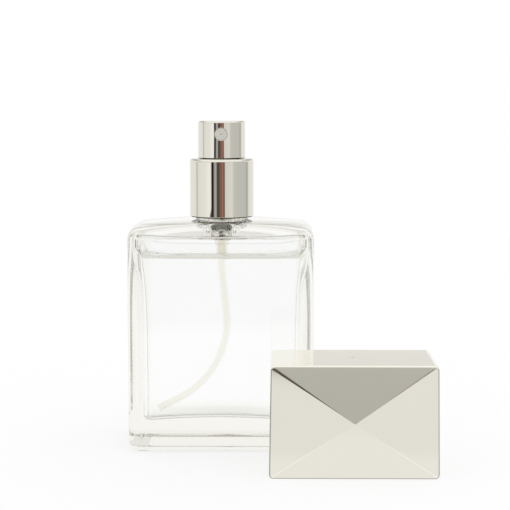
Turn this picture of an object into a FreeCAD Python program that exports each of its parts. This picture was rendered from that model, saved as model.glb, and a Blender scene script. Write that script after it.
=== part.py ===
import FreeCAD, Part
import math
import os
from FreeCAD import Vector

# Spray bottle with a crimped fine-mist pump and a lift-off box cap.
# Millimetres. Origin at the centre of the bottle's foot, +Z up, front towards -Y.

# Glass body
body_width = 50.0
body_depth = 30.2
body_corner = 3.7
shoulder_top = 62.1
shoulder_dome = 210.0
shoulder_edge = 3.4
foot_edge = 2.6
recess_inset = 4.6
recess_depth = 0.7
recess_corner = 2.6

# Cavity of the body: height, width and depth of each level
cavity_levels = [
    (4.0, 42.0, 22.2),
    (20.0, 42.2, 22.4),
    (36.0, 42.4, 22.6),
    (45.0, 43.4, 23.2),
    (52.0, 45.0, 24.0),
    (58.2, 45.4, 24.2),
]
cavity_corner = 2.0
cavity_floor = 9.2
cavity_floor_dome = 220.0
cavity_floor_edge = 1.6
cavity_ceiling_edge = 1.0
fill_height = 51.6
fill_gap = 0.05

# Neck finish for a 15 mm crimp
neck_top = 69.6
neck_radius = 6.3
neck_root_round = 1.2
bead_radius = 7.45
bead_height = 2.9
rim_round = 0.7
bore_radius = 5.1
bore_mouth_round = 1.6

# Roundings of moulded and drawn edges
fine_edge = 0.1
soft_edge = 0.3

# Pump
stroke = 3.6
needle_slip = 0.4
fit_gap = 0.03
rest_gap = 0.02
gasket_thick = 0.9
flange_radius = 7.1
flange_thick = 1.0
barrel_radius = 4.2
chamber_radius = 3.0
gland_radius = 3.7
gland_seat = 69.2
gland_boss = 2.5
gland_plate = 0.8
ball_radius = 1.0
ball_room = 1.2
ball_lip = 0.88
lip_thick = 0.3
seat_top = 58.3
inlet_radius = 0.5
tail_top = 56.4
tail_radius = 1.47
tail_step_radius = 1.8
tail_step = 55.0
tail_end = 51.3
shank_radius = 2.4
stem_radius = 1.5
stem_top = 82.6
stem_foot = 66.45
stem_bore = 0.75
needle_radius = 0.6
needle_flange = 66.4
needle_flange_radius = 2.65
needle_plate = 0.5
needle_foot_radius = 1.2
needle_foot_drop = 1.3
needle_notch = 0.3
spring_radius = 2.2
spring_wire = 0.45
spring_turns = 4.5
spring_room = 2.0
seal_thick = 0.5
piston_height = 2.6
piston_waist = 2.5

# Dip tube: corners of its route in the XZ plane and the bend at each
tube_radius = 1.0
tube_bore = 0.6
tube_route = [(0.0, 56.3), (0.0, 49.0), (3.0, 20.7), (-17.3, 9.8)]
tube_bends = [0.0, 40.0, 24.0, 0.0]

# Crimp ferrule and collar
ferrule_wall = 0.35
ferrule_gap = 0.05
ferrule_hole = 4.75
collar_radius = 8.7
collar_wall = 0.35
collar_foot = 62.9
collar_top = 78.5
collar_round = 0.7
collar_mouth = 6.7
collar_lip = 0.6
sleeve_wall = 0.8
sleeve_gap = 0.2
sleeve_ledge = 1.0
sleeve_drop = 0.3
snap_drop = 1.6
snap_rise = 0.3

# Push button
button_radius = 6.4
button_wall = 0.3
button_foot = 78.7
button_top = 88.7
button_round = 0.5
core_boss = 2.6
core_skirt = 0.9
core_roof = 1.6
socket_lead = 0.5
spray_channel = 0.4
spray_post = 0.85
nozzle_height = 85.2
nozzle_radius = 1.65
nozzle_window = 1.78
nozzle_face = 6.12
nozzle_floor = 3.2
nozzle_plate = 0.6
nozzle_bore = 0.97
orifice = 0.12
orifice_flare = 0.1

# Cap, beside the bottle on the same surface, open side down
cap_x = 34.4
cap_clear = 0.4
cap_width = 42.8
cap_depth = 23.4
cap_taper = 0.86
cap_height = 28.8
cap_edge = 0.6
cap_wall = 1.5
cap_inner_corner = 1.0
cap_roof = 1.4
facet_rise = 2.0
gate_radius = 0.5
gate_depth = 0.12
socket_radius = 8.85
socket_wall = 0.85
socket_stop = 16.4
button_room = 7.0
liner_foot = 1.0
liner_plate = 1.2
liner_web = 1.0
liner_corner = 1.2
web_drop = 1.5
liner_lead = 0.6
liner_top = 27.3
liner_gap = 0.08

# Values that follow from the driving dimensions
axis_up = Vector(0, 0, 1)
flange_foot = neck_top + gasket_thick
flange_top = flange_foot + flange_thick
ferrule_inner = bead_radius + ferrule_gap
ferrule_outer = ferrule_inner + ferrule_wall
ferrule_top = flange_top + ferrule_wall
liner_inner = ferrule_outer + fit_gap
collar_inner = collar_radius - collar_wall
liner_outer = collar_inner - rest_gap
cap_y = -(body_depth / 2 + cap_clear + facet_rise + cap_depth / 2)
needle_seat = needle_flange - needle_plate
chamber_floor = needle_seat - stroke - needle_slip - spring_room


def rounded_wire(points, radii, closed=True):
    """Straight runs joined by tangent arcs, one radius to each point; 0 keeps the corner sharp."""
    bends = []
    count = len(points)
    for i, point in enumerate(points):
        radius = radii[i]
        if radius == 0:
            bends.append((point, None, point))
            continue
        back = (points[i - 1] - point).normalize()
        ahead = (points[(i + 1) % count] - point).normalize()
        half = back.getAngle(ahead) / 2
        inward = (back + ahead).normalize()
        centre = point + inward * (radius / math.sin(half))
        run = radius / math.tan(half)
        bends.append((point + back * run, centre - inward * radius, point + ahead * run))
    edges = []
    for i, (start, middle, end) in enumerate(bends):
        if middle is not None:
            edges.append(Part.Arc(start, middle, end).toShape())
        if i == count - 1 and not closed:
            break
        following = bends[(i + 1) % count][0]
        if end.distanceToPoint(following) > 1e-6:
            edges.append(Part.LineSegment(end, following).toShape())
    return Part.Wire(edges)


def turned(corners):
    """Solid of revolution about Z from (radius, height, rounding) corners."""
    points = [Vector(radius, 0, height) for radius, height, _ in corners]
    face = Part.Face(rounded_wire(points, [rounding for _, _, rounding in corners]))
    return face.revolve(Vector(), axis_up, 360)


def ring(inner, outer, foot, top, rounding=0.0):
    """Plain turned ring, with its four edges rounded alike."""
    return turned(
        [
            (inner, foot, rounding),
            (outer, foot, rounding),
            (outer, top, rounding),
            (inner, top, rounding),
        ]
    )


def rod(radius, foot, top):
    """Upright cylinder on the axis."""
    return Part.makeCylinder(radius, top - foot, Vector(0, 0, foot))


def forward_rod(radius, near, far, height):
    """Cylinder along -Y, from one distance in front of the axis to another."""
    return Part.makeCylinder(radius, far - near, Vector(0, -near, height), Vector(0, -1, 0))


def rectangle(width, depth, corner, height):
    """Level rounded rectangle round the axis."""
    signs = [(1, 1), (-1, 1), (-1, -1), (1, -1)]
    points = [Vector(sx * width / 2, sy * depth / 2, height) for sx, sy in signs]
    return rounded_wire(points, [corner] * 4)


def slab(width, depth, corner, foot, top):
    """Upright rounded block round the axis."""
    return Part.Face(rectangle(width, depth, corner, foot)).extrude(Vector(0, 0, top - foot))


def dome(crest, radius):
    """Large ball whose top point is at the crest on the axis."""
    return Part.makeSphere(radius, Vector(0, 0, crest - radius))


def edges_between(shape, low, high):
    """Edges that lie wholly between two heights."""
    return [e for e in shape.Edges if e.BoundBox.ZMin >= low and e.BoundBox.ZMax <= high]


def upright_edges(shape, height):
    """Edges that climb at least this far."""
    return [e for e in shape.Edges if e.BoundBox.ZMax - e.BoundBox.ZMin >= height]


def cavity(gap):
    """Inside of the glass body, drawn in by a gap: flared near the shoulder, with a domed floor."""
    sections = [
        rectangle(width - 2 * gap, depth - 2 * gap, cavity_corner - gap, height)
        for height, width, depth in cavity_levels
    ]
    ceiling = cavity_levels[-1][0]
    space = Part.makeLoft(sections, True, False).cut(dome(cavity_floor + gap, cavity_floor_dome))
    space = max(space.Solids, key=lambda solid: solid.Volume)
    space = space.makeFillet(cavity_ceiling_edge, edges_between(space, ceiling - 0.1, ceiling + 0.1))
    return space.makeFillet(cavity_floor_edge, edges_between(space, 4.5, cavity_floor + 1))


def glass_bottle():
    """Pressed and blown body with a domed shoulder, a beaded neck and a recessed foot."""
    body = slab(body_width, body_depth, body_corner, 0, shoulder_top + 2)
    body = body.common(dome(shoulder_top, shoulder_dome))
    body = body.makeFillet(shoulder_edge, edges_between(body, shoulder_top - 5, shoulder_top + 1))
    body = body.makeFillet(foot_edge, edges_between(body, -0.1, 0.1))
    bead_foot = neck_top - bead_height
    ceiling = cavity_levels[-1][0]
    neck = turned(
        [
            (0, ceiling, 0),
            (neck_radius, ceiling, 0),
            (neck_radius, bead_foot - (bead_radius - neck_radius), soft_edge),
            (bead_radius, bead_foot, soft_edge),
            (bead_radius, neck_top, rim_round),
            (0, neck_top, 0),
        ]
    )
    body = body.fuse(neck)
    root = [
        e
        for e in edges_between(body, shoulder_top - 0.5, shoulder_top + 0.1)
        if abs(e.BoundBox.XMax - neck_radius) < 0.1
    ]
    body = body.makeFillet(neck_root_round, root)
    space = cavity(0).fuse(rod(bore_radius, ceiling - 1, neck_top + 1))
    mouth = [
        e
        for e in edges_between(space, ceiling - 0.1, ceiling + 0.1)
        if abs(e.BoundBox.XMax - bore_radius) < 0.1
    ]
    space = space.makeFillet(bore_mouth_round, mouth)
    recess_width = body_width - 2 * recess_inset
    recess_span = body_depth - 2 * recess_inset
    recess = slab(recess_width, recess_span, recess_corner, -1, recess_depth)
    roof = edges_between(recess, recess_depth - 0.1, recess_depth + 0.1)
    recess = recess.makeFillet(recess_depth * 0.8, roof)
    return body.cut(space).cut(recess)


def tube_path():
    """Centre line of the dip tube, down from the pump and across to the lower left corner."""
    points = [Vector(x, 0, z) for x, z in tube_route]
    return rounded_wire(points, tube_bends, closed=False)


def along_tube(radius):
    """Round bar of one radius along the dip tube's route."""
    start_x, start_z = tube_route[0]
    profile = Part.Wire(Part.makeCircle(radius, Vector(start_x, 0, start_z), axis_up))
    return tube_path().makePipeShell([profile], True, False)


def dip_tube():
    """Extruded tube, curved by the bottle."""
    return along_tube(tube_radius).cut(along_tube(tube_bore))


def aftershave_liquid():
    """Fill of the cavity up to its level, clear of the tube and the pump's tail."""
    corner = Vector(-body_width / 2, -body_depth / 2, 0)
    level = Part.makeBox(body_width, body_depth, fill_height, corner)
    fill = cavity(fill_gap).common(level)
    fill = fill.cut(along_tube(tube_radius + fill_gap))
    return fill.cut(rod(tail_radius + fill_gap, tail_end - fill_gap, fill_height + 1))


def pump_housing():
    """Moulded barrel with its flange, ball seat and stepped tail."""
    seat_foot = seat_top - (ball_room - inlet_radius)
    lip_foot = chamber_floor - lip_thick
    housing = turned(
        [
            (tube_radius + rest_gap, tail_end, fine_edge),
            (tail_radius, tail_end, fine_edge),
            (tail_radius, tail_step, 0),
            (tail_step_radius, tail_step, fine_edge),
            (tail_step_radius, tail_top, fine_edge),
            (shank_radius, tail_top + shank_radius - tail_step_radius, fine_edge),
            (shank_radius, seat_top, soft_edge),
            (barrel_radius, seat_top + 1, soft_edge),
            (barrel_radius, flange_foot, 0),
            (flange_radius, flange_foot, fine_edge),
            (flange_radius, flange_top, fine_edge),
            (gland_radius, flange_top, 0),
            (gland_radius, gland_seat, 0),
            (chamber_radius, gland_seat, 0),
            (chamber_radius, chamber_floor, fine_edge),
            (ball_lip, chamber_floor, fine_edge),
            (ball_lip, lip_foot, 0),
            (ball_room, lip_foot - 0.15, 0),
            (ball_room, seat_top, 0),
            (inlet_radius, seat_foot, 0),
            (inlet_radius, tail_top, 0),
            (tube_radius + rest_gap, tail_top, 0),
        ]
    )
    for turn in (0, 120, 240):
        slot = Part.makeBox(1.6, 0.5, lip_thick + 0.5, Vector(0, -0.25, lip_foot - 0.4))
        slot.rotate(Vector(), axis_up, turn)
        housing = housing.cut(slot)
    return housing


def check_ball():
    """Inlet ball, just clear of its 45 degree seat."""
    touch = ball_radius * math.sqrt(0.5)
    seat_foot = seat_top - (ball_room - inlet_radius)
    centre = seat_foot + (touch - inlet_radius) + touch + rest_gap * math.sqrt(2)
    return Part.makeSphere(ball_radius, Vector(0, 0, centre))


def helix_biarc(start, start_way, end, end_way):
    """Two tangent arcs from one point and direction to another."""
    span = end - start
    ways = start_way + end_way
    bend = 2 * (1 - start_way.dot(end_way))
    reach = (-span.dot(ways) + math.sqrt(span.dot(ways) ** 2 + bend * span.dot(span))) / bend
    first = start + start_way * reach
    second = end - end_way * reach
    meet = (first + second) * 0.5
    arcs = []
    for a, corner, b in ((start, first, meet), (meet, second, end)):
        chord = a.distanceToPoint(b) / 2
        tilt = math.acos(min(1.0, chord / reach))
        middle = (a + b) * 0.5
        top = middle + (corner - middle).normalize() * (chord * math.tan(tilt / 2))
        arcs.append(Part.Arc(a, top, b).toShape())
    return arcs


def return_spring():
    """Open coil spring between the chamber floor and the needle's flange."""
    foot = chamber_floor + spring_wire / 2 + rest_gap
    rise = needle_seat - spring_wire / 2 - rest_gap - foot
    climb = rise / (spring_turns * 2 * math.pi)

    def place(angle):
        return Vector(spring_radius * math.cos(angle), spring_radius * math.sin(angle), foot + climb * angle)

    def way(angle):
        return Vector(-spring_radius * math.sin(angle), spring_radius * math.cos(angle), climb).normalize()

    steps = int(spring_turns * 4)
    angles = [math.pi / 2 * i for i in range(steps + 1)]
    edges = []
    for low, high in zip(angles, angles[1:]):
        edges += helix_biarc(place(low), way(low), place(high), way(high))
    profile = Part.Wire(Part.makeCircle(spring_wire / 2, place(0), way(0)))
    coil = Part.Wire(edges).makePipeShell([profile], True, False)
    samples = [place(spring_turns * 2 * math.pi * i / 360) for i in range(361)]
    half_turn = int(360 / spring_turns / 2)
    gap = min(
        a.distanceToPoint(b)
        for i, a in enumerate(samples)
        for b in samples[i + half_turn :]
    )
    print("spring least gap to itself", round(gap - spring_wire, 3))
    return coil


def neck_gasket():
    """Flat seal on the glass rim."""
    foot = neck_top + rest_gap
    top = flange_foot - rest_gap
    return ring(barrel_radius + fine_edge, flange_radius, foot, top, fine_edge)


def crimp_ferrule():
    """Drawn cup over the flange and the bead, its edge crimped under the bead."""
    slope = bead_radius - neck_radius
    bead_foot = neck_top - bead_height
    under = ferrule_gap * math.tan(math.radians(22.5))
    reach = slope * 0.8
    side = ferrule_wall * math.sqrt(0.5)
    inner_bend = bead_foot - under
    outer_bend = inner_bend - ferrule_wall * math.tan(math.radians(22.5))
    return turned(
        [
            (ferrule_hole, flange_top, 0),
            (ferrule_inner, flange_top, fine_edge),
            (ferrule_inner, inner_bend, 0),
            (ferrule_inner - reach, inner_bend - reach, 0),
            (ferrule_inner - reach + side, inner_bend - reach - side, fine_edge),
            (ferrule_outer, outer_bend, soft_edge),
            (ferrule_outer, ferrule_top, soft_edge),
            (ferrule_hole, ferrule_top, fine_edge),
        ]
    )


def collar_liner():
    """Dark plastic sleeve over the crimp: a ledge on top, a snap bead below, its foot just in sight."""
    foot = collar_foot - sleeve_drop
    top = collar_top - collar_wall - soft_edge
    ledge_foot = ferrule_top + rest_gap
    ledge_top = ledge_foot + sleeve_ledge
    snap_top = neck_top - bead_height - snap_drop
    return turned(
        [
            (liner_inner, foot, fine_edge),
            (liner_outer, foot, fine_edge),
            (liner_outer, top, 0),
            (liner_outer - sleeve_wall, top, fine_edge),
            (liner_outer - sleeve_wall, ledge_top, soft_edge),
            (collar_mouth + sleeve_gap, ledge_top, fine_edge),
            (collar_mouth + sleeve_gap, ledge_foot, fine_edge),
            (liner_inner, ledge_foot, 0),
            (liner_inner, snap_top, 0),
            (liner_inner - snap_rise, snap_top - snap_rise, fine_edge),
            (liner_inner, snap_top - 3 * snap_rise, 0),
        ]
    )


def collar_shell():
    """Drawn bright sleeve with a rounded rim turned down at its mouth."""
    under = collar_top - collar_wall
    return turned(
        [
            (collar_inner, collar_foot, fine_edge),
            (collar_radius, collar_foot, fine_edge),
            (collar_radius, collar_top, collar_round),
            (collar_mouth, collar_top, soft_edge),
            (collar_mouth, collar_top - collar_lip, 0),
            (collar_mouth + collar_wall, collar_top - collar_lip, 0),
            (collar_mouth + collar_wall, under, 0),
            (collar_inner, under, collar_round - collar_wall),
        ]
    )


def stem_guide():
    """Gland that closes the barrel and guides the stem."""
    foot = gland_seat + seal_thick + 2 * rest_gap
    outer = gland_radius - rest_gap
    cover = flange_top + rest_gap
    return turned(
        [
            (stem_radius + fit_gap, foot, fine_edge),
            (outer, foot, fine_edge),
            (outer, cover, 0),
            (ferrule_hole - sleeve_gap, cover, 0),
            (ferrule_hole - sleeve_gap, cover + gland_plate, soft_edge),
            (gland_boss, cover + gland_plate, fine_edge),
            (gland_boss, cover + 2 * gland_plate, soft_edge),
            (stem_radius + fit_gap, cover + 2 * gland_plate, fine_edge),
        ]
    )


def stem_seal():
    """Lip washer under the gland."""
    foot = gland_seat + rest_gap
    return ring(stem_radius + rest_gap, gland_radius - rest_gap, foot, foot + seal_thick, fine_edge)


def valve_stem():
    """Hollow stem, narrowed at its foot where the needle closes it."""
    seat = needle_radius + fit_gap
    seat_end = stem_foot + needle_foot_drop
    return turned(
        [
            (seat, stem_foot, 0),
            (stem_radius, stem_foot, fine_edge),
            (stem_radius, stem_top, fine_edge),
            (stem_bore, stem_top, fine_edge),
            (stem_bore, seat_end + fine_edge, 0),
            (seat, seat_end, 0),
        ]
    )


def piston():
    """Soft ring on the stem's foot, with a sealing lip at each end."""
    inner = stem_radius + rest_gap / 2
    lip = chamber_radius - fit_gap
    band = piston_height / 5
    flare = lip - piston_waist
    top = stem_foot + piston_height
    return turned(
        [
            (inner, stem_foot, 0),
            (inner + flare, stem_foot, fine_edge),
            (piston_waist - soft_edge, stem_foot + band, fine_edge),
            (lip - soft_edge, stem_foot, 0),
            (lip, stem_foot, 0),
            (lip, stem_foot + band, fine_edge),
            (piston_waist, stem_foot + band + flare, fine_edge),
            (piston_waist, top - band - flare, fine_edge),
            (lip, top - band, fine_edge),
            (lip, top, fine_edge),
            (inner, top, fine_edge),
        ]
    )


def valve_rod():
    """Needle whose tip closes the stem; its flange sits on the spring."""
    foot = needle_seat - needle_foot_drop
    tip = needle_flange + 2 * needle_radius
    needle = turned(
        [
            (0, foot, 0),
            (needle_foot_radius, foot, soft_edge),
            (needle_foot_radius, needle_seat, fine_edge),
            (needle_flange_radius, needle_seat, 0),
            (needle_flange_radius, needle_flange, fine_edge),
            (needle_radius, needle_flange, fine_edge),
            (needle_radius, tip - needle_radius, fine_edge),
            (needle_radius / 3, tip, fine_edge),
            (0, tip, 0),
        ]
    )
    for turn in (45, 135, 225, 315):
        notch_foot = Vector(needle_flange_radius, 0, needle_seat - needle_plate / 2)
        notch = Part.makeCylinder(needle_notch, 2 * needle_plate, notch_foot)
        notch.rotate(Vector(), axis_up, turn)
        needle = needle.cut(notch)
    return needle


def actuator_core():
    """Moulded core of the button: skirt, stem socket, spray channel and the pocket of the nozzle."""
    outer = button_radius - button_wall - rest_gap
    foot = button_foot + soft_edge
    top = button_top - button_wall - rest_gap
    crown = button_round - button_wall
    core = turned([(0, foot, 0), (outer, foot, fine_edge), (outer, top, crown), (0, top, 0)])
    core = core.cut(ring(core_boss, outer - core_skirt, foot - 1, top - core_roof, soft_edge))
    front = outer - core_skirt + fine_edge
    block_foot = nozzle_height - core_boss
    block_rise = top - core_roof + soft_edge - block_foot
    block = Part.makeBox(2 * core_boss, front, block_rise, Vector(-core_boss, -front, block_foot))
    core = core.fuse(block)
    socket_end = stem_top + fine_edge
    socket = turned(
        [
            (0, foot - 1, 0),
            (stem_radius + socket_lead, foot - 1, 0),
            (stem_radius + socket_lead, foot, 0),
            (stem_radius + rest_gap, foot + socket_lead, 0),
            (stem_radius + rest_gap, socket_end, 0),
            (0, socket_end, 0),
        ]
    )
    core = core.cut(socket)
    pocket = nozzle_radius + rest_gap
    feed = nozzle_height - (pocket + spray_post) / 2
    core = core.cut(rod(spray_channel, socket_end - fine_edge, feed + spray_channel))
    core = core.cut(forward_rod(spray_channel, 0, nozzle_floor + fine_edge, feed))
    core = core.cut(forward_rod(pocket, nozzle_floor, button_radius + 1, nozzle_height))
    post_end = nozzle_face - nozzle_plate - fine_edge
    core = core.fuse(forward_rod(spray_post, nozzle_floor - spray_channel, post_end, nozzle_height))
    return core.removeSplitter()


def actuator_shell():
    """Drawn bright cover of the button with the nozzle's window in front."""
    inner = button_radius - button_wall
    under = button_top - button_wall
    cover = turned(
        [
            (inner, button_foot, fine_edge),
            (button_radius, button_foot, fine_edge),
            (button_radius, button_top, button_round),
            (0, button_top, 0),
            (0, under, 0),
            (inner, under, button_round - button_wall),
        ]
    )
    return cover.cut(forward_rod(nozzle_window, 1, button_radius + 1, nozzle_height))


def nozzle_insert():
    """Cup pressed over the post, its face pierced by the orifice."""
    back = nozzle_floor + fine_edge
    inside = nozzle_face - nozzle_plate
    cup = turned(
        [
            (nozzle_bore, back, fine_edge),
            (nozzle_radius, back, fine_edge),
            (nozzle_radius, nozzle_face, fine_edge),
            (orifice + orifice_flare, nozzle_face, 0),
            (orifice, nozzle_face - orifice_flare, 0),
            (orifice, inside, 0),
            (nozzle_bore, inside, 0),
        ]
    )
    cup.rotate(Vector(), Vector(1, 0, 0), 90)
    cup.translate(Vector(0, 0, nozzle_height))
    return cup


def cap_half(height, inset=0.0):
    """Half width and half depth of the cap's box at a height above its rim."""
    draw = cap_taper / 2 * height / cap_height
    return cap_width / 2 - draw - inset, cap_depth / 2 - draw - inset


def cap_block(inset, top):
    """Tapered block of the cap, drawn in by an inset, from the rim up."""
    sections = []
    for height in (0.0, top):
        half_x, half_y = cap_half(height, inset)
        corners = [(1, 1), (-1, 1), (-1, -1), (1, -1), (1, 1)]
        sections.append(Part.makePolygon([Vector(sx * half_x, sy * half_y, height) for sx, sy in corners]))
    return Part.makeLoft(sections, True, True)


def facet_pyramid(side):
    """Low four-sided pyramid on the front (-1) or back (1) face of the cap."""
    low = cap_edge / 2
    high = cap_height - cap_edge
    base = []
    for height, order in ((low, (-1, 1)), (high, (1, -1))):
        half_x, half_y = cap_half(height)
        base += [Vector(sx * (half_x - cap_edge), side * half_y, height) for sx in order]
    middle = cap_height / 2
    apex = Vector(0, side * (cap_half(middle)[1] + facet_rise), middle)
    faces = [Part.Face(Part.makePolygon(base + base[:1]))]
    for a, b in zip(base, base[1:] + base[:1]):
        faces.append(Part.Face(Part.makePolygon([a, b, apex, a])))
    pyramid = Part.Solid(Part.Shell(faces))
    if pyramid.Volume < 0:
        pyramid.reverse()
    return pyramid


def cap_shell():
    """Metallised box cap with soft edges and a faceted pyramid on its front and back."""
    shell = cap_block(0.0, cap_height)
    soft = upright_edges(shell, cap_height - 1) + edges_between(shell, cap_height - 0.1, cap_height + 0.1)
    shell = shell.makeFillet(cap_edge, soft)
    for side in (-1, 1):
        shell = shell.fuse(facet_pyramid(side))
    hollow = cap_block(cap_wall, cap_height - cap_roof)
    hollow = hollow.makeFillet(cap_inner_corner, upright_edges(hollow, cap_height - cap_roof - 1))
    shell = shell.cut(hollow)
    shell = shell.cut(ring(gate_radius / 2, gate_radius, cap_height - gate_depth, cap_height + 1))
    shell.translate(Vector(cap_x, cap_y, 0))
    return shell


def cap_liner():
    """Moulded socket that grips the collar: plate, stepped tube and four webs."""
    half_x, half_y = cap_half(liner_foot + liner_plate, cap_wall + liner_gap)
    plate_top = liner_foot + liner_plate
    outer = socket_radius + socket_wall
    liner = slab(2 * half_x, 2 * half_y, liner_corner, liner_foot, plate_top)
    liner = liner.fuse(rod(outer, liner_foot, socket_stop + socket_wall))
    liner = liner.fuse(rod(button_room + socket_wall, socket_stop, liner_top))
    web_top = socket_stop - web_drop
    web_x, web_y = cap_half(web_top, cap_wall + liner_gap)
    web_rise = web_top - liner_foot
    long_web = Part.makeBox(2 * web_x, liner_web, web_rise, Vector(-web_x, -liner_web / 2, liner_foot))
    cross_web = Part.makeBox(liner_web, 2 * web_y, web_rise, Vector(-liner_web / 2, -web_y, liner_foot))
    liner = liner.fuse(long_web).fuse(cross_web)
    bore = turned(
        [
            (0, liner_foot - 1, 0),
            (socket_radius + liner_lead, liner_foot - 1, 0),
            (socket_radius + liner_lead, liner_foot, 0),
            (socket_radius, liner_foot + liner_lead, 0),
            (socket_radius, socket_stop, 0),
            (button_room, socket_stop, 0),
            (button_room, liner_top + 1, 0),
            (0, liner_top + 1, 0),
        ]
    )
    liner = liner.cut(bore).removeSplitter()
    liner.translate(Vector(cap_x, cap_y, 0))
    return liner


pieces = [
    glass_bottle,
    aftershave_liquid,
    dip_tube,
    pump_housing,
    check_ball,
    return_spring,
    neck_gasket,
    crimp_ferrule,
    collar_liner,
    collar_shell,
    stem_guide,
    stem_seal,
    valve_stem,
    piston,
    valve_rod,
    actuator_core,
    actuator_shell,
    nozzle_insert,
    cap_shell,
    cap_liner,
]

os.makedirs("parts", exist_ok=True)
for piece in pieces:
    shape = piece()
    name = piece.__name__
    if len(shape.Solids) != 1 or not shape.isValid():
        raise RuntimeError(f"{name} is not one valid solid")
    solid = shape.Solids[0]
    solid.exportStep(f"parts/{name}.step")
    print(name, round(solid.Volume, 2), "mm3")
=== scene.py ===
import math

import bpy
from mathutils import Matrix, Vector


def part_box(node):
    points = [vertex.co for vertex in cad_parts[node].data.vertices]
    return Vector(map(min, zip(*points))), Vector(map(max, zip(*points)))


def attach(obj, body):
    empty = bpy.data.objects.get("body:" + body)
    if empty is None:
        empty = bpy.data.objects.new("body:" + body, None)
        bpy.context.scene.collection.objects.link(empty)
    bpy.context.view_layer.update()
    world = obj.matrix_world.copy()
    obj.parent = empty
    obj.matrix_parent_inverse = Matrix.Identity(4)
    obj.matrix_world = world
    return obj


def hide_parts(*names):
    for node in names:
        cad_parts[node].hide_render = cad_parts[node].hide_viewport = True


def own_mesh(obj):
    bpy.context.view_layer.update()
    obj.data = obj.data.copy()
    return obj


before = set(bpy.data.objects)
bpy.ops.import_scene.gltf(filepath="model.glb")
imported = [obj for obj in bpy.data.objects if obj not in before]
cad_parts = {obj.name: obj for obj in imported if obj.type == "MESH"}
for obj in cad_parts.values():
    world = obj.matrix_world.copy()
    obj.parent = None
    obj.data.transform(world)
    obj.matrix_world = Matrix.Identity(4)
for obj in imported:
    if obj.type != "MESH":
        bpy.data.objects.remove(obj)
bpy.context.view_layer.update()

# Sizes in metres. The main ones are read from the frame, the rest are written in millimetres.
mm = 0.001
_, glass_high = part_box("glass_bottle")
spring_low, spring_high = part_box("return_spring")
cap_low, cap_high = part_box("cap_shell")

# Glass body, whose neck ends a little below the gasket
half_width = glass_high.x
half_depth = glass_high.y
gasket_gap = 0.02 * mm
neck_top = glass_high.z - gasket_gap
body_corner = 3.7 * mm
foot_edge = 2.6 * mm
recess_inset = 4.6 * mm
recess_corner = 2.6 * mm
recess_depth = 0.7 * mm
recess_edge = 0.56 * mm
shoulder_top = 62.1 * mm
shoulder_dome = 210 * mm
shoulder_edge = 3.4 * mm
neck_radius = 6.3 * mm
neck_root_round = 1.2 * mm
bead_radius = 7.45 * mm
bead_foot = 66.7 * mm
rim_round = 0.7 * mm
bore_radius = 5.1 * mm
bore_edge = 0.2 * mm
bore_mouth_round = 0.3 * mm

# Cavity of the glass: height, half width and half depth of each level
cavity_levels = [
    (4.0 * mm, 21.0 * mm, 11.1 * mm),
    (20.0 * mm, 21.1 * mm, 11.2 * mm),
    (36.0 * mm, 21.2 * mm, 11.3 * mm),
    (45.0 * mm, 21.7 * mm, 11.6 * mm),
    (52.0 * mm, 22.5 * mm, 12.0 * mm),
    (58.2 * mm, 22.7 * mm, 12.1 * mm),
]
cavity_corner = 2.0 * mm
ceiling_edge = 1.0 * mm
floor_crest = 9.2 * mm
floor_dome = 220 * mm
floor_edge = 1.6 * mm

# Warm tone of thick glass: half the width of its soft border, and the cavity's level beside which
# it starts
thick_fade = 0.8 * mm
thick_level = 2

# Liquid: it climbs the glass, most of all towards the two ends, and a little round the pump's tail
liquid_level = 51.6 * mm
liquid_gap = 0.01 * mm
wall_climb = 2.2 * mm
end_climb = 1.5 * mm
end_start = 0.55
tail_climb = 0.6 * mm
climb_reach = 1.1 * mm
tail_radius = 1.47 * mm

# Cap
cap_edge = 0.5 * mm
cap_corner = 1.2 * mm
cap_draw = 0.43 * mm
cap_wall = 1.5 * mm
cap_roof = 1.4 * mm
cap_inner_corner = 1.0 * mm
facet_rise = 2.0 * mm
gate_radius = 0.5 * mm
gate_taper = 0.7
gate_depth = 0.12 * mm

# Pump housing: top of its clear tail, below the barrel, which has a painted shade
tail_top = 56.4 * mm
tail_fade = 0.6 * mm

# Return spring: room above it for the needle's slip
spring_turns = 4.5
spring_wire = 0.45 * mm
spring_room = 0.42 * mm

# Fineness of the meshes: steps along a form, or places along it as shares of its reach
corner_steps = 16
edge_steps = 10
side_steps = 20
side_margin = 0.02
recess_steps = 4
shoulder_steps = 8
rim_steps = 5
bore_steps = 3
flat_steps = 6
wall_steps = 30
floor_shares = (0.8, 0.6, 0.4, 0.2, 0.06)
climb_shares = (0.02, 0.05, 0.09, 0.14, 0.2, 0.28, 0.38, 0.5, 0.66, 0.85)
tail_shares = (4.0, 3.0, 2.3, 1.8, 1.5, 1.3, 1.15, 1.05, 0.98)
facet_shares = (0.97, 0.85, 0.65, 0.45, 0.25, 0.1, 0.03, 0.01)
circle_steps = 32
wire_steps = 12
turn_steps = 36


def outline(half_x, half_y, corner):
    """Rounded rectangle round the origin, anticlockwise: points with their outward directions."""
    corners = []
    for quarter, (sx, sy) in enumerate(((1, 1), (-1, 1), (-1, -1), (1, -1))):
        centre = Vector((sx * (half_x - corner), sy * (half_y - corner)))
        arc = []
        for step in range(corner_steps + 1):
            angle = math.pi / 2 * (quarter + step / corner_steps)
            outward = Vector((math.cos(angle), math.sin(angle)))
            arc.append((centre + corner * outward, outward))
        corners.append(arc)
    span = 1 - 2 * side_margin
    stops = [side_margin + span * step / side_steps for step in range(side_steps + 1)]
    points = []
    for arc, following in zip(corners, corners[1:] + corners[:1]):
        points += arc
        start, outward = arc[-1]
        end = following[0][0]
        points += [(start.lerp(end, stop), outward) for stop in stops]
    return points


def inset_ring(line, inset, height):
    """Level ring: the outline drawn in by an inset."""
    return [Vector((*(point - inset * outward), height)) for point, outward in line]


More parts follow.
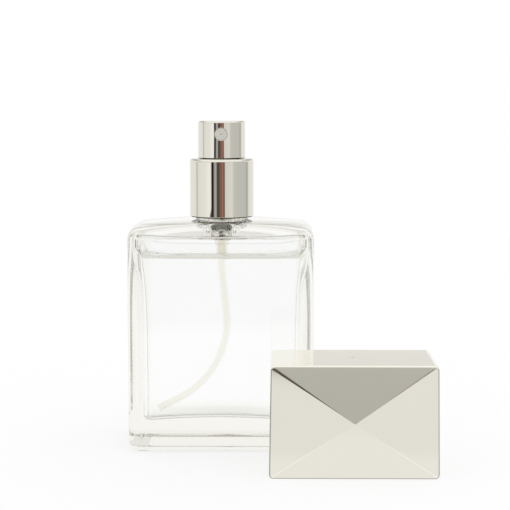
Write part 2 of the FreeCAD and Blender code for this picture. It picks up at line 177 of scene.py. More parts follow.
def round_ring(line, radius, height):
    """A level circle whose points face those of the outline."""
    reach_x = max(point.x for point, _ in line)
    reach_y = max(point.y for point, _ in line)
    angles = [math.atan2(point.y / reach_y, point.x / reach_x) for point, _ in line]
    return [Vector((radius * math.cos(a), radius * math.sin(a), height)) for a in angles]


def circle(radius, height, middle):
    """A level circle round an upright line through a middle point."""
    angles = [2 * math.pi * step / circle_steps for step in range(circle_steps)]
    foot = Vector((middle.x, middle.y, height))
    return [foot + radius * Vector((math.cos(a), math.sin(a), 0)) for a in angles]


def between(first, last, steps, height=None):
    """Rings that change from one ring to another, laid on a surface by a height of x and y."""
    rings = []
    for step in range(1, steps):
        ring = [a.lerp(b, step / steps) for a, b in zip(first, last)]
        if height:
            ring = [Vector((p.x, p.y, height(p.x, p.y))) for p in ring]
        rings.append(ring)
    return rings


def turns(start, end, steps):
    """Angles from start to end in degrees, both included, in radians."""
    return [math.radians(start + (end - start) * step / steps) for step in range(steps + 1)]


def skin(name, rings, second_from=None):
    """Closed mesh over a run of rings, with the second material from ring number second_from on."""
    mesh = bpy.data.meshes.new(name)
    count = len(rings[0])
    points = [p for ring in rings for p in ring]
    faces = [list(range(count))[::-1]]
    marks = [0]
    for i in range(len(rings) - 1):
        for j in range(count):
            k = (j + 1) % count
            faces.append([i * count + j, i * count + k, (i + 1) * count + k, (i + 1) * count + j])
            marks.append(int(second_from is not None and i >= second_from))
    faces.append([(len(rings) - 1) * count + j for j in range(count)])
    marks.append(int(second_from is not None))
    mesh.from_pydata(points, [], faces)
    mesh.polygons.foreach_set("material_index", marks)
    mesh.polygons.foreach_set("use_smooth", [True] * len(faces))
    piece = bpy.data.objects.new(name, mesh)
    bpy.context.scene.collection.objects.link(piece)
    return piece


def even_shading(piece):
    """Normals led by the larger faces, so that flats stay flat next to their rounded edges."""
    modifier = piece.modifiers.new("even_shading", "WEIGHTED_NORMAL")
    modifier.keep_sharp = True
    return piece


def carve(piece, cutter):
    """Takes the cutter's form out of the piece, and removes the cutter."""
    modifier = piece.modifiers.new("carve", "BOOLEAN")
    modifier.operation = "DIFFERENCE"
    modifier.solver = "EXACT"
    modifier.object = cutter
    graph = bpy.context.evaluated_depsgraph_get()
    carved = bpy.data.meshes.new_from_object(piece.evaluated_get(graph))
    piece.modifiers.clear()
    piece.data = carved
    bpy.data.objects.remove(cutter)
    return piece


def cavity_half(height):
    """Half width and half depth of the cavity at a height, on a smooth curve through its levels."""
    levels = cavity_levels
    place = 0
    while place < len(levels) - 2 and height > levels[place + 1][0]:
        place += 1
    (z0, *low), (z1, *high) = levels[place], levels[place + 1]
    share = min(1.0, max(0.0, (height - z0) / (z1 - z0)))
    before = levels[max(0, place - 1)]
    after = levels[min(len(levels) - 1, place + 2)]
    halves = []
    for axis in (0, 1):
        a, b = low[axis], high[axis]
        rise_a = (b - before[axis + 1]) / (z1 - before[0]) * (z1 - z0)
        rise_b = (after[axis + 1] - a) / (after[0] - z0) * (z1 - z0)
        s2, s3 = share * share, share ** 3
        halves.append(
            a * (2 * s3 - 3 * s2 + 1)
            + rise_a * (s3 - 2 * s2 + share)
            + b * (3 * s2 - 2 * s3)
            + rise_b * (s3 - s2)
        )
    return halves


def cavity_line(height, gap=0.0):
    """Outline of the cavity at a height, drawn in by a gap."""
    half_x, half_y = cavity_half(height)
    return outline(half_x - gap, half_y - gap, cavity_corner - gap)


def wall_ring(heights, gap):
    """Ring on the cavity's wall, each point at its own height."""
    return [Vector((*cavity_line(z, gap)[place][0], z)) for place, z in enumerate(heights)]


def edge_heights():
    """Height of the liquid's edge on the glass at each point of the cavity's outline."""
    line = cavity_line(liquid_level + wall_climb)
    reach = max(point.x for point, _ in line)
    heights = []
    for point, _ in line:
        share = max(0.0, (abs(point.x) / reach - end_start) / (1 - end_start))
        heights.append(liquid_level + wall_climb + end_climb * share ** 2)
    return heights


def dome_height(x, y, crest, dome):
    """Height of a dome over the upright axis, by its crest and its radius."""
    return crest - dome + math.sqrt(dome ** 2 - x * x - y * y)


def dome_edge(line, edge, crest, dome, side):
    """Rings of the rounded edge from a wall to a dome, which rolls up onto it (1) or down (-1)."""
    reach = dome - side * edge
    arcs = []
    for point, outward in line:
        centre = point - edge * outward
        centre_z = crest - dome + math.sqrt(reach ** 2 - centre.length_squared)
        lean = math.asin(centre.dot(outward) / dome)
        arc = []
        for step in range(edge_steps + 1):
            angle = (math.pi / 2 - side * lean) * step / edge_steps
            x, y = centre + edge * math.cos(angle) * outward
            arc.append(Vector((x, y, centre_z + side * edge * math.sin(angle))))
        arcs.append(arc)
    return [list(ring) for ring in zip(*arcs)]


def wet_rings(gap):
    """Rings of the cavity from the liquid's edge down to the middle of the floor."""
    edge = edge_heights()
    low = floor_crest + floor_edge
    rings = []
    for step in range(wall_steps):
        rings.append(wall_ring([z + (low - z) * step / wall_steps for z in edge], gap))
    rings += dome_edge(cavity_line(floor_crest, gap), floor_edge, floor_crest + gap, floor_dome, -1)
    outer = rings[-1]
    for share in floor_shares:
        ring = []
        for p in outer:
            x, y = p.x * share, p.y * share
            ring.append(Vector((x, y, dome_height(x, y, floor_crest, floor_dome) + gap)))
        rings.append(ring)
    return rings


def shoulder_height(x, y):
    """Height of the domed shoulder."""
    return dome_height(x, y, shoulder_top, shoulder_dome)


def bottle_glass():
    """Clear glass body: foot with a recess, walls, domed shoulder, beaded neck, bore, cavity."""
    body = outline(half_width, half_depth, body_corner)
    recess = outline(half_width - recess_inset, half_depth - recess_inset, recess_corner)
    rings = []
    for angle in turns(90, 0, recess_steps):
        inset = recess_edge * (1 - math.cos(angle))
        rings.append(inset_ring(recess, inset, recess_depth - recess_edge * (1 - math.sin(angle))))
    rings.append(inset_ring(recess, 0, 0))
    for angle in turns(-90, 0, edge_steps):
        inset = foot_edge * (1 - math.cos(angle))
        rings.append(inset_ring(body, inset, foot_edge * (1 + math.sin(angle))))
    rings += dome_edge(body, shoulder_edge, shoulder_top, shoulder_dome, 1)
    root_radius = neck_radius + neck_root_round
    root_height = shoulder_height(root_radius, 0)
    root = round_ring(body, root_radius, root_height)
    rings += between(rings[-1], root, shoulder_steps, shoulder_height)
    for angle in turns(-90, -180, edge_steps):
        radius = root_radius + neck_root_round * math.cos(angle)
        height = root_height + neck_root_round * (1 + math.sin(angle))
        rings.append(round_ring(body, radius, height))
    rings.append(round_ring(body, neck_radius, bead_foot - bead_radius + neck_radius))
    rings.append(round_ring(body, bead_radius, bead_foot))
    for angle in turns(0, 90, rim_steps):
        radius = bead_radius - rim_round * (1 - math.cos(angle))
        rings.append(round_ring(body, radius, neck_top - rim_round * (1 - math.sin(angle))))
    for angle in turns(90, 180, bore_steps):
        radius = bore_radius + bore_edge * (1 + math.cos(angle))
        rings.append(round_ring(body, radius, neck_top - bore_edge * (1 - math.sin(angle))))
    ceiling = cavity_levels[-1][0]
    for angle in turns(0, 90, edge_steps):
        radius = bore_radius + bore_mouth_round * (1 - math.cos(angle))
        rings.append(round_ring(body, radius, ceiling + bore_mouth_round * (1 - math.sin(angle))))
    top_line = cavity_line(ceiling - ceiling_edge)
    rings += between(rings[-1], inset_ring(top_line, ceiling_edge, ceiling), flat_steps)
    for angle in turns(90, 0, edge_steps):
        inset = ceiling_edge * (1 - math.cos(angle))
        rings.append(inset_ring(top_line, inset, ceiling - ceiling_edge * (1 - math.sin(angle))))
    dry_count = len(rings)
    rings += wet_rings(0.0)
    return even_shading(skin("bottle_glass", rings, dry_count))


def liquid_top():
    """Rings of the liquid's surface, from its edge on the glass to the pump's tail."""
    edge = edge_heights()
    start = wall_ring(edge, liquid_gap)
    line = cavity_line(liquid_level + wall_climb, liquid_gap)
    rings = []
    for share in climb_shares:
        inset = share * cavity_corner
        fade = math.exp(-inset / climb_reach)
        ring = []
        for point, (_, outward) in zip(start, line):
            x, y = point.xy - inset * outward
            ring.append(Vector((x, y, liquid_level + (point.z - liquid_level) * fade)))
        rings.append(ring)
    open_radius = tail_shares[0] * tail_radius
    rings += between(rings[-1], round_ring(line, open_radius, liquid_level), flat_steps)
    for share in tail_shares:
        climb = tail_climb * math.exp(-max(0.0, share - 1) * tail_radius / climb_reach)
        rings.append(round_ring(line, share * tail_radius, liquid_level + climb))
    return rings


def liquid_fill():
    """Clear fill whose surface climbs the glass and the pump's tail."""
    walls = wet_rings(liquid_gap)[::-1]
    return even_shading(skin("liquid_fill", walls + liquid_top(), len(walls)))


def cap_cover(shell, inside):
    """Bright box cap, open below, with a low soft-ridged pyramid on its front and back."""
    middle = (cap_low + cap_high) / 2
    height = cap_high.z
    half_x = middle.x - cap_low.x
    half_y = middle.y - cap_low.y - facet_rise + cap_draw / 2

    def drawn(x, y, z):
        up = z / height + 0.5
        narrow_x = 1 - cap_draw * up / half_x
        narrow_y = 1 - cap_draw * up / half_y
        return Vector((middle.x + x * narrow_x, middle.y + y * narrow_y, z + height / 2))

    def face_rings(side):
        apex = Vector((0, side * (half_y + facet_rise), 0))
        arcs = []
        for point, outward in outline(half_x, height / 2, cap_corner):
            reach = point.dot(outward) - cap_edge
            tilt = math.atan2(facet_rise, reach)
            arc = []
            for step in range(edge_steps + 1):
                angle = (math.pi / 2 - tilt) * step / edge_steps
                x, z = point - cap_edge * (1 - math.cos(angle)) * outward
                arc.append(Vector((x, side * (half_y - cap_edge * (1 - math.sin(angle))), z)))
            arc += [apex.lerp(arc[edge_steps], share) for share in facet_shares]
            arcs.append(arc)
        return [[drawn(*p) for p in ring] for ring in zip(*arcs)]

    cover = skin("cap_cover", face_rings(1)[::-1] + face_rings(-1))
    hollow_rings = []
    for z in (-cap_roof, height - cap_roof):
        draw = cap_draw * z / height + cap_wall
        line = outline(half_x - draw, half_y - draw, cap_inner_corner)
        hollow_rings.append([p + Vector((middle.x, middle.y, 0)) for p in inset_ring(line, 0, z)])
    gate_rings = [
        circle(gate_radius * gate_taper, height - gate_depth, middle),
        circle(gate_radius, height, middle),
        circle(gate_radius, height + gate_depth, middle),
    ]
    for cutter in (skin("hollow", hollow_rings, 0), skin("gate", gate_rings)):
        dress(cutter, shell, inside)
        dress(cover, shell, inside)
        carve(cover, cutter)
    return even_shading(cover)


def coil_spring():
    """Return spring: one open coil of round wire."""
    radius = spring_high.x - spring_wire / 2
    foot = spring_low.z + spring_wire / 2
    rise = spring_high.z - spring_room - spring_wire / 2 - foot
    steps = int(spring_turns * turn_steps)
    climb = rise / (2 * math.pi * spring_turns)
    rings = []
    for step in range(steps + 1):
        angle = 2 * math.pi * step / turn_steps
        radial = Vector((math.cos(angle), math.sin(angle), 0))
        along = Vector((-radius * radial.y, radius * radial.x, climb)).normalized()
        across = along.cross(radial)
        centre = radius * radial + Vector((0, 0, foot + climb * angle))
        ring = []
        for turn in range(wire_steps):
            around = 2 * math.pi * turn / wire_steps
            offset = math.cos(around) * radial + math.sin(around) * across
            ring.append(centre + spring_wire / 2 * offset)
        rings.append(ring)
    return skin("coil_spring", rings)


# Materials

# Scale and detail of the clouds in a finish and in its shade, and the part of a cloud that is used
haze_scale = 60.0
haze_detail = 4.0
haze_low = 0.3
haze_high = 0.7
shade_scale = 40.0
shade_detail = 3.0

# Parts of the surface direction between which a box's edges get a painted dark reflection and the
# lower ridges of its front a painted highlight
edge_turn = (0.96, 0.85)
edge_upward = (0.3, 0.1)
ridge_slant = (-0.0016, -0.0026)


def node_group(name, inputs, outputs):
    """Empty shader group with named sockets."""
    group = bpy.data.node_groups.new(name, "ShaderNodeTree")
    for label, kind, value in inputs:
        socket = group.interface.new_socket(label, in_out="INPUT", socket_type=kind)
        socket.default_value = value
    for label, kind in outputs:
        group.interface.new_socket(label, in_out="OUTPUT", socket_type=kind)
    entry = group.nodes.new("NodeGroupInput")
    result = group.nodes.new("NodeGroupOutput")
    return group, entry.outputs, result.inputs


def blended(tree, share, first, second):
    """Colour between two colours."""
    blend = tree.nodes.new("ShaderNodeMix")
    blend.data_type = "RGBA"
    tree.links.new(share, blend.inputs["Factor"])
    for colour, socket in ((first, blend.inputs[6]), (second, blend.inputs[7])):
        if isinstance(colour, tuple):
            socket.default_value = colour
        else:
            tree.links.new(colour, socket)
    return blend.outputs[2]


def share_of(tree, socket, start, end):
    """Share that grows from 0 to 1 as a value goes from start to end."""
    spread = tree.nodes.new("ShaderNodeMapRange")
    spread.inputs["From Min"].default_value = start
    spread.inputs["From Max"].default_value = end
    tree.links.new(socket, spread.inputs["Value"])
    return spread.outputs["Result"]


def combined(tree, operation, *sockets):
    """Socket that carries several values combined, such as by MAXIMUM or MULTIPLY."""
    result = sockets[0]
    for socket in sockets[1:]:
        node = tree.nodes.new("ShaderNodeMath")
        node.operation = operation
        tree.links.new(result, node.inputs[0])
        tree.links.new(socket, node.inputs[1])
        result = node.outputs["Value"]
    return result


def changed(tree, operation, socket, number=0.0):
    """Socket that carries a value changed by a plain operation, such as by a factor."""
    node = tree.nodes.new("ShaderNodeMath")
    node.operation = operation
    node.inputs[1].default_value = number
    tree.links.new(socket, node.inputs[0])
    return node.outputs["Value"]


def parts_of(tree, vector):
    """The three parts of a direction or a place."""
    split = tree.nodes.new("ShaderNodeSeparateXYZ")
    tree.links.new(vector, split.inputs["Vector"])
    return split.outputs


def place_on(tree):
    """Place on a piece."""
    return tree.nodes.new("ShaderNodeTexCoord").outputs["Object"]


def cloud(tree, scale, detail):
    """Soft cloudy value over a piece."""
    noise = tree.nodes.new("ShaderNodeTexNoise")
    noise.inputs["Scale"].default_value = scale
    noise.inputs["Detail"].default_value = detail
    tree.links.new(place_on(tree), noise.inputs["Vector"])
    return noise.outputs["Fac"]


def haze_group():
    """Faint cloudy change of a finish between two values."""
    group, given, put = node_group(
        "finish_haze",
        [("Low", "NodeSocketFloat", 0.0), ("High", "NodeSocketFloat", 1.0)],
        [("Value", "NodeSocketFloat")],
    )
    spread = group.nodes.new("ShaderNodeMapRange")
    spread.inputs["From Min"].default_value = haze_low
    spread.inputs["From Max"].default_value = haze_high
    group.links.new(cloud(group, haze_scale, haze_detail), spread.inputs["Value"])
    group.links.new(given["Low"], spread.inputs["To Min"])
    group.links.new(given["High"], spread.inputs["To Max"])
    group.links.new(spread.outputs["Result"], put["Value"])
    return group


def drift_group():
    """Slow drift of a colour between two shades."""
    group, given, put = node_group(
        "shade_drift",
        [("First", "NodeSocketColor", (1, 1, 1, 1)), ("Second", "NodeSocketColor", (1, 1, 1, 1))],
        [("Color", "NodeSocketColor")],
    )
    share = cloud(group, shade_scale, shade_detail)
    group.links.new(blended(group, share, given["First"], given["Second"]), put["Color"])
    return group


def thick_group():
    """Share of solid glass behind a place: full beside, below and above the cavity."""
    group, _, put = node_group("thick_glass", [], [("Share", "NodeSocketFloat")])
    parts = parts_of(group, place_on(group))
    aside = changed(group, "ABSOLUTE", parts["X"])
    _, wall, _ = cavity_levels[thick_level]
    ceiling = cavity_levels[-1][0]
    beside = share_of(group, aside, wall - thick_fade, wall + thick_fade)
    below = share_of(group, parts["Z"], floor_crest + thick_fade, floor_crest - thick_fade)
    above = share_of(group, parts["Z"], ceiling, ceiling + 2 * thick_fade)
    group.links.new(combined(group, "MAXIMUM", beside, below, above), put["Share"])
    return group


thick = thick_group()
haze = haze_group()
drift = drift_group()


def finish(name, shades, rough, **sockets):
    """Material with a drifting colour and a hazy roughness, and other values on its shader."""
    material = bpy.data.materials.new(name)
    material.use_nodes = True
    nodes, links = material.node_tree.nodes, material.node_tree.links
    shader = nodes["Principled BSDF"]
    colour = nodes.new("ShaderNodeGroup")
    colour.node_tree = drift
    colour.inputs["First"].default_value = (*shades[0], 1.0)
    colour.inputs["Second"].default_value = (*shades[1], 1.0)
    links.new(colour.outputs["Color"], shader.inputs["Base Color"])
    gloss = nodes.new("ShaderNodeGroup")
    gloss.node_tree = haze
    gloss.inputs["Low"].default_value = rough[0]
    gloss.inputs["High"].default_value = rough[1]
    links.new(gloss.outputs["Value"], shader.inputs["Roughness"])
    for socket, value in sockets.items():
        shader.inputs[socket.replace("_", " ")].default_value = value
    return material


def edge_shares(tree):
    """Shares of a box's rounded upright and lower edges, and of its lower facets' ridges, where a
    painted reflection and a painted highlight go.
    """
    facing = tree.nodes.new("ShaderNodeNewGeometry").outputs["Normal"]
    size = tree.nodes.new("ShaderNodeVectorMath")
    size.operation = "ABSOLUTE"
    tree.links.new(facing, size.inputs[0])
    parts = parts_of(tree, facing)
    sizes = parts_of(tree, size.outputs["Vector"])
    rounded = share_of(tree, combined(tree, "MAXIMUM", *sizes), *edge_turn)
    edges = combined(tree, "MULTIPLY", rounded, share_of(tree, parts["Z"], *edge_upward))
    aslant = combined(tree, "MULTIPLY", sizes["X"], parts["Z"])
    return edges, share_of(tree, aslant, *ridge_slant)


def tone(material, share, colour):
    """Brings a material's base colour towards another colour, by a share."""
    tree = material.node_tree
    base = tree.nodes["Principled BSDF"].inputs["Base Color"]
    tree.links.new(blended(tree, share, base.links[0].from_socket, colour), base)


def height_share(tree, low, high):
    """Share that grows from 0 to 1 between two heights of a piece."""
    return share_of(tree, parts_of(tree, place_on(tree))["Z"], low, high)


def dress(piece, *materials):
    """Gives a piece its materials in order, in place of those that it has."""
    slots = piece.data.materials
    for number, material in enumerate(materials):
        if number < len(slots):
            slots[number] = material
        else:
            slots.append(material)


# Refraction of the clear materials, and the tones that masks bring into the finishes: the warm tint
# of thick glass, a painted dark reflection on the cap's edges, a painted highlight on its lower
# ridges and a painted shade on the pump's barrel
glass_index = 1.52
liquid_index = 1.365
thick_glass_tone = (0.93, 0.915, 0.87, 1.0)
cap_edge_painted_reflection = (0.35, 0.335, 0.3, 1.0)
cap_ridge_painted_highlight = (1.0, 0.99, 0.92, 1.0)
barrel_painted_shade = (0.8, 0.785, 0.755, 1.0)
clear = ((1.0, 1.0, 1.0), (0.99, 0.995, 0.99))
dry_glass = finish("clear_glass", clear, (0.0, 0.004), Transmission_Weight=1.0, IOR=glass_index)
glass_share = dry_glass.node_tree.nodes.new("ShaderNodeGroup")
glass_share.node_tree = thick
tone(dry_glass, glass_share.outputs["Share"], thick_glass_tone)
wet_glass = finish(
    "wet_glass", clear, (0.0, 0.004), Transmission_Weight=1.0, IOR=glass_index / liquid_index
)
fill_side = finish("liquid_side", clear, (0.0, 0.001), Transmission_Weight=1.0, IOR=1.0)
fill_top = finish("liquid_surface", clear, (0.0, 0.002), Transmission_Weight=1.0, IOR=liquid_index)
bright_metal = finish(
    "bright_metal", ((0.86, 0.83, 0.745), (0.85, 0.82, 0.735)), (0.02, 0.04), Metallic=1.0
)
bright_cap = finish(
    "metallised_cap", ((0.95, 0.92, 0.825), (0.94, 0.91, 0.815)), (0.08, 0.12), Metallic=1.0
)
# Painted dark reflection on the cap's upright and lower edges, and painted highlight on its lower
# ridges, by surface direction
cap_edge_reflection_share, cap_ridge_highlight_share = edge_shares(bright_cap.node_tree)
tone(bright_cap, cap_ridge_highlight_share, cap_ridge_painted_highlight)
tone(bright_cap, cap_edge_reflection_share, cap_edge_painted_reflection)
bare_cap = finish("bare_cap_inside", ((0.72, 0.72, 0.70), (0.68, 0.68, 0.66)), (0.4, 0.5))
tube_plastic = finish(
    "tube_plastic",
    ((0.965, 0.955, 0.915), (0.955, 0.945, 0.905)),
    (0.1, 0.16),
    Transmission_Weight=1.0,
    IOR=1.05,
)
pump_plastic = finish(
    "pump_plastic",
    ((1.0, 0.985, 0.93), (0.99, 0.975, 0.915)),
    (0.12, 0.16),
    Transmission_Weight=0.95,
    IOR=1.08,
)
# Painted shade: the barrel above the clear tail is darker, in place of the shade inside the neck
# under the collar
barrel_shade_share = height_share(pump_plastic.node_tree, tail_top, tail_top + tail_fade)
tone(pump_plastic, barrel_shade_share, barrel_painted_shade)
dark_plastic = finish("dark_plastic", ((0.03, 0.028, 0.025), (0.025, 0.023, 0.02)), (0.35, 0.5))
white_plastic = finish("white_plastic", ((0.86, 0.86, 0.83), (0.82, 0.82, 0.79)), (0.35, 0.5))
nozzle_plastic = finish("nozzle_plastic", ((0.6, 0.59, 0.53), (0.58, 0.57, 0.51)), (0.5, 0.6))
seal_rubber = finish("seal_rubber", ((0.95, 0.94, 0.9), (0.92, 0.91, 0.87)), (0.5, 0.6))
spring_steel = finish(
    "spring_steel", ((0.7, 0.7, 0.7), (0.65, 0.65, 0.65)), (0.4, 0.5), Metallic=1.0
)
bare_aluminium = finish(
    "bare_aluminium", ((0.8, 0.8, 0.8), (0.74, 0.74, 0.74)), (0.2, 0.35), Metallic=1.0
)

# Pieces made here, each in place of a node of the frame

glass = bottle_glass()
dress(glass, dry_glass, wet_glass)
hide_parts("glass_bottle")
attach(glass, "bottle")

fill = liquid_fill()
dress(fill, fill_side, fill_top)
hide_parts("aftershave_liquid")
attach(fill, "bottle")

cover = cap_cover(bright_cap, bare_cap)
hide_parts("cap_shell")
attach(cover, "cap")

spring = coil_spring()
dress(spring, spring_steel)
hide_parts("return_spring")
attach(spring, "bottle")
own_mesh(spring)

node_finishes = {
    "dip_tube": tube_plastic,
    "pump_housing": pump_plastic,
    "check_ball": spring_steel,
    "neck_gasket": seal_rubber,
    "crimp_ferrule": bare_aluminium,
    "collar_liner": dark_plastic,
    "collar_shell": bright_metal,
    "stem_guide": white_plastic,
    "stem_seal": seal_rubber,
    "valve_stem": white_plastic,
    "piston": white_plastic,
    "valve_rod": white_plastic,
    "actuator_core": white_plastic,
    "actuator_shell": bright_metal,
    "nozzle_insert": nozzle_plastic,
    "cap_liner": white_plastic,
}
for name, material in node_finishes.items():
    dress(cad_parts[name], material)


# Floor, room and camera

white = (1.0, 1.0, 1.0, 1.0)

# Floor: the share of the object's shadow that shows, and a painted shadow under the glass that only
# the glass bends into view
floor_colour = (0.99, 0.99, 0.99, 1.0)
floor_roughness = 0.9
shadow_share = 0.2
painted_shadow_under_glass = (0.8, 0.79, 0.75, 1.0)
painted_shadow_reach = 1.6

# What bright metal sees of the floor in front of the object, by its place along Y in metres
floor_front_view = [
    (-0.3, (0.81, 0.81, 0.81)),
    (-0.075, (0.8, 0.8, 0.8)),
    (-0.06, (0.85, 0.85, 0.85)),
    (0.0, (0.85, 0.85, 0.85)),
]

# Darker far part of the floor, left of a line, that bright metal sees: its borders along Y and X
floor_gap = (0.06, 0.045, 0.035, 1.0)
floor_gap_far = (-0.2, -0.24)
floor_gap_side = (0.05, 0.04)

# What the clear glass bends into view: by bearing from the front in degrees, the same on both sides
band_dark = (0.08, 0.08, 0.06)
band_pale = (0.9, 0.9, 0.88)
band_white = (1.0, 1.0, 1.0)
glass_side_view = [
    (60, band_pale),
    (68, band_dark),
    (78, band_dark),
    (83, band_pale),
    (97, band_pale),
    (102, band_dark),
    (108, band_dark),
    (118, band_white),
    (180, band_white),
]
glass_view = [(-bearing, shade) for bearing, shade in glass_side_view[::-1]] + glass_side_view

# The same above the horizon, as the upward part of the direction
rise_pale = (0.97, 0.97, 0.96)
rise_dark = (0.3, 0.3, 0.25)
glass_rise = [
    (0.0, rise_pale),
    (0.46, rise_pale),
    (0.52, rise_dark),
    (0.68, rise_dark),
    (0.75, band_white),
    (0.8, band_white),
    (0.85, rise_dark),
    (0.93, rise_dark),
    (0.97, band_white),
    (1.0, band_white),
]

# Panels and gaps that bright metal sees round the object: by bearing from the front in degrees,
# right positive
metal_view = [
    (-180, (0.875, 0.875, 0.875)),
    (-107, (0.875, 0.875, 0.875)),
    (-100, (0.53, 0.53, 0.53)),
    (-92, (0.83, 0.83, 0.83)),
    (-60, (0.88, 0.88, 0.88)),
    (-45, (0.98, 0.98, 1.0)),
    (-38, (0.9, 0.9, 0.9)),
    (-35, (0.012, 0.012, 0.014)),
    (-29, (0.012, 0.012, 0.014)),
    (-25, (0.40, 0.40, 0.40)),
    (-18, (0.44, 0.44, 0.44)),
    (-15.5, (0.08, 0.068, 0.055)),
    (-8, (0.095, 0.078, 0.064)),
    (-4, (0.2, 0.145, 0.12)),
    (0, (0.17, 0.115, 0.09)),
    (3, (0.42, 0.178, 0.143)),
    (7, (0.32, 0.14, 0.11)),
    (11.5, (0.14, 0.065, 0.045)),
    (14, (0.72, 0.72, 0.72)),
    (26, (0.76, 0.76, 0.76)),
    (40, (0.79, 0.79, 0.79)),
    (45, (0.63, 0.64, 0.63)),
    (60, (0.59, 0.6, 0.59)),
    (96, (0.58, 0.59, 0.58)),
    (106, (0.42, 0.42, 0.42)),
    (116, (0.86, 0.86, 0.86)),
    (180, (0.93, 0.93, 0.93)),
]

# The same by height above the horizon, as the upward part of the direction: in front and behind
metal_front_rise = [
    (0.0, (0.455, 0.46, 0.445)),
    (0.12, (0.475, 0.48, 0.465)),
    (0.35, (1.0, 1.0, 1.0)),
    (1.0, (1.0, 1.0, 1.0)),
]
metal_back_rise = [
    (0.0, (0.98, 0.98, 0.98)),
    (0.12, (0.98, 0.98, 0.98)),
    (0.18, (0.765, 0.755, 0.735)),
    (0.3, (0.765, 0.755, 0.735)),
    (0.42, (0.5, 0.5, 0.49)),
    (0.55, (0.5, 0.5, 0.49)),
    (0.7, (1.0, 1.0, 1.0)),
    (1.0, (1.0, 1.0, 1.0)),
]

# Upward and backward parts of the direction between which one view passes into the next
metal_above = (0.012, 0.04)
glass_above = (0.0, 0.03)
front_to_back = (-0.1, 0.1)


def shade_by(tree, socket, stops):
    """Colour that follows a value through a run of stops."""
    low, high = stops[0][0], stops[-1][0]
    spread = tree.nodes.new("ShaderNodeMapRange")
    spread.inputs["From Min"].default_value = low
    spread.inputs["From Max"].default_value = high
    ramp = tree.nodes.new("ShaderNodeValToRGB")
    marks = ramp.color_ramp.elements
    marks.remove(marks[-1])
    for number, (value, shade) in enumerate(stops):
        position = (value - low) / (high - low)
        mark = marks[0] if number == 0 else marks.new(position)
        mark.position = position
        mark.color = (*shade, 1.0)
    tree.links.new(socket, spread.inputs["Value"])
    tree.links.new(spread.outputs["Result"], ramp.inputs["Fac"])
    return ramp.outputs["Color"]


def bearing_of(tree, vector):
    """Bearing from the front in degrees, right positive, of a direction or place, and its parts."""
    parts = parts_of(tree, vector)
    to_front = changed(tree, "MULTIPLY", parts["Y"], -1.0)
    turn = combined(tree, "ARCTAN2", parts["X"], to_front)
    return changed(tree, "DEGREES", turn), parts


def surroundings_group():
    """Shade that clear glass bends into view from a direction or a place on the floor."""
    group, given, put = node_group(
        "glass_surroundings",
        [("Vector", "NodeSocketVector", (0, 1, 0))],
        [("Color", "NodeSocketColor")],
    )
    bearing, _ = bearing_of(group, given["Vector"])
    group.links.new(shade_by(group, bearing, glass_view), put["Color"])
    return group


surroundings = surroundings_group()


def bent_view(tree, vector):
    """Shade that clear glass bends into view, for a material or the room."""
    around = tree.nodes.new("ShaderNodeGroup")
    around.node_tree = surroundings
    tree.links.new(vector, around.inputs["Vector"])
    return around.outputs["Color"]


def floor_material():
    """Pale floor: white to the camera apart from a soft shadow, shaded for metal and glass, with a
    painted shadow under the glass.
    """
    material = bpy.data.materials.new("pale_floor")
    material.use_nodes = True
    tree = material.node_tree
    nodes, links = tree.nodes, tree.links
    shader = nodes["Principled BSDF"]
    shader.inputs["Roughness"].default_value = floor_roughness
    shader.inputs["Specular IOR Level"].default_value = 0.0
    shader.inputs["Base Color"].default_value = floor_colour
    path = nodes.new("ShaderNodeLightPath").outputs
    glossy, bent_ray = path["Is Glossy Ray"], path["Is Transmission Ray"]
    place = nodes.new("ShaderNodeNewGeometry").outputs["Position"]
    parts = parts_of(tree, place)
    far = share_of(tree, parts["Y"], *floor_gap_far)
    aside = share_of(tree, parts["X"], *floor_gap_side)
    mirrored = shade_by(tree, parts["Y"], floor_front_view)
    mirrored = blended(tree, combined(tree, "MULTIPLY", far, aside), mirrored, floor_gap)
    flat = nodes.new("ShaderNodeVectorMath")
    flat.operation = "MULTIPLY"
    flat.inputs[1].default_value = (1.0, half_width / half_depth, 0.0)
    links.new(place, flat.inputs[0])
    away = nodes.new("ShaderNodeVectorMath")
    away.operation = "LENGTH"
    links.new(flat.outputs["Vector"], away.inputs[0])
    # Painted shadow under the glass's foot, seen only through the glass
    reach = painted_shadow_reach * half_width
    clear_of_foot = share_of(tree, away.outputs["Value"], half_width, reach)
    bent = blended(tree, clear_of_foot, painted_shadow_under_glass, bent_view(tree, place))
    colour = blended(tree, bent_ray, blended(tree, glossy, white, mirrored), bent)
    light = nodes.new("ShaderNodeEmission")
    links.new(colour, light.inputs["Color"])
    shown = changed(tree, "MULTIPLY", path["Is Camera Ray"], 1 - shadow_share)
    blend = nodes.new("ShaderNodeMixShader")
    links.new(combined(tree, "MAXIMUM", shown, glossy, bent_ray), blend.inputs["Fac"])
    links.new(shader.outputs["BSDF"], blend.inputs[1])
    links.new(light.outputs["Emission"], blend.inputs[2])
    links.new(blend.outputs["Shader"], nodes["Material Output"].inputs["Surface"])
    return material


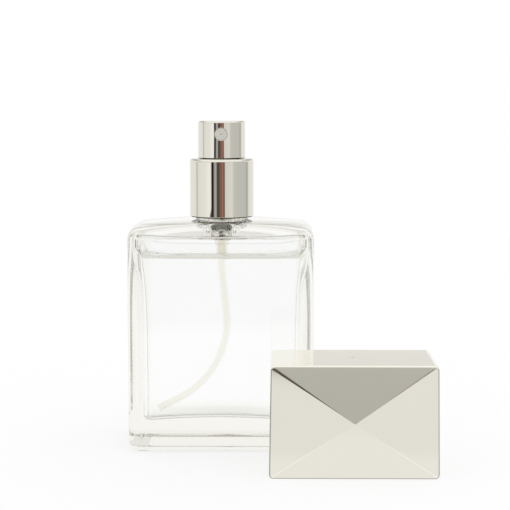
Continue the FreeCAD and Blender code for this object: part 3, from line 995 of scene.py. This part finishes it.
# Edges of the floor, in metres
floor_front = -0.65
floor_back = 0.6
floor_side = 0.5
floor_mesh = bpy.data.meshes.new("floor")
floor_mesh.from_pydata(
    [
        (-floor_side, floor_front, 0),
        (floor_side, floor_front, 0),
        (floor_side, floor_back, 0),
        (-floor_side, floor_back, 0),
    ],
    [],
    [(0, 1, 2, 3)],
)
floor = bpy.data.objects.new("floor", floor_mesh)
bpy.context.scene.collection.objects.link(floor)
floor_mesh.materials.append(floor_material())


def studio_world():
    """White room, in which metal and glass see bright panels and darker gaps."""
    world = bpy.data.worlds.new("studio")
    world.use_nodes = True
    tree = world.node_tree
    view = tree.nodes.new("ShaderNodeTexCoord").outputs["Generated"]
    bearing, parts = bearing_of(tree, view)
    rise = parts["Z"]
    level = shade_by(tree, bearing, metal_view)
    front_rise = shade_by(tree, rise, metal_front_rise)
    back_rise = shade_by(tree, rise, metal_back_rise)
    above = blended(tree, share_of(tree, parts["Y"], *front_to_back), front_rise, back_rise)
    metal = blended(tree, share_of(tree, rise, *metal_above), level, above)
    above_glass = shade_by(tree, rise, glass_rise)
    bent = blended(tree, share_of(tree, rise, *glass_above), bent_view(tree, view), above_glass)
    path = tree.nodes.new("ShaderNodeLightPath").outputs
    shown = blended(tree, path["Is Glossy Ray"], white, metal)
    shown = blended(tree, path["Is Transmission Ray"], shown, bent)
    tree.links.new(shown, tree.nodes["Background"].inputs["Color"])
    return world


scene = bpy.context.scene
scene.world = studio_world()
scene.view_settings.view_transform = "Standard"

# Light crosses many faces of the thick glass and its fill before it leaves
glass_passes = 48
scene.cycles.max_bounces = glass_passes
scene.cycles.transmission_bounces = glass_passes
scene.cycles.glossy_bounces = glass_passes

# Camera: its place, its pitch and turn in degrees, its sensor and focal length in millimetres
camera_place = Vector((13.26, -383.1, 95.01)) * mm
camera_pitch = 6.42
camera_turn = 0.625
sensor_width = 36
focal_length = 98.82
lens = bpy.data.cameras.new("camera")
lens.sensor_width = sensor_width
lens.lens = focal_length
camera = bpy.data.objects.new("camera", lens)
camera.location = camera_place
camera.rotation_euler = (math.radians(90 - camera_pitch), 0, math.radians(camera_turn))
scene.collection.objects.link(camera)
scene.camera = camera
